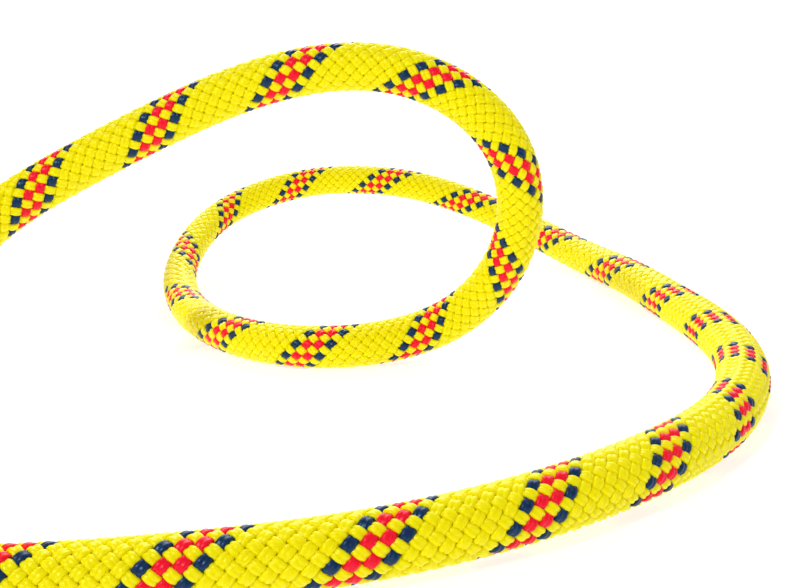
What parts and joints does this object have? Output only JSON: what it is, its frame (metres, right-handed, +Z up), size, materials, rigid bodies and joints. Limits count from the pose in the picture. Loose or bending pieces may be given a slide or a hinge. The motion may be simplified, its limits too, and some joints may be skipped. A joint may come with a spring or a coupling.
{
  "type": "dynamic climbing rope",
  "caption": "Kernmantle climbing rope with a braided tracer-patterned sheath over twisted core strands: one free loop runs into a strapped round coil.",
  "frame": {"origin": "middle of the footprint, on the surface that the rope lies on", "axes": "+Z up; +X from the coil towards the open curve of the rope; +Y away from the side where the free end lies"},
  "size_m": [0.4058, 0.2412, 0.1113],
  "materials": {
    "sheath": "satin",
    "sheath_red": "satin",
    "sheath_navy": "satin",
    "core": "matte",
    "tape": "satin",
    "sleeve": "satin",
    "tip": "satin",
    "strap": "matte"
  },
  "bodies": {
    "root": {"rope_sheath": "sheath", "core_strand_01": "core", "core_strand_02": "core", "core_strand_03": "core", "core_strand_04": "core", "core_strand_05": "core", "core_strand_06": "core", "core_strand_07": "core", "core_strand_08": "core", "core_strand_09": "core", "core_strand_10": "core", "core_strand_11": "core", "identification_tape": "tape", "near_end_sleeve": "sleeve", "near_end_sealed_tip": "tip", "rope_coil": "sheath", "coil_strap_1": "strap", "coil_strap_2": "strap", "coil_strap_3": "strap", "coil_tail": "sheath", "coil_end_sleeve": "sleeve", "coil_end_sealed_tip": "tip"}
  },
  "joints": []
}
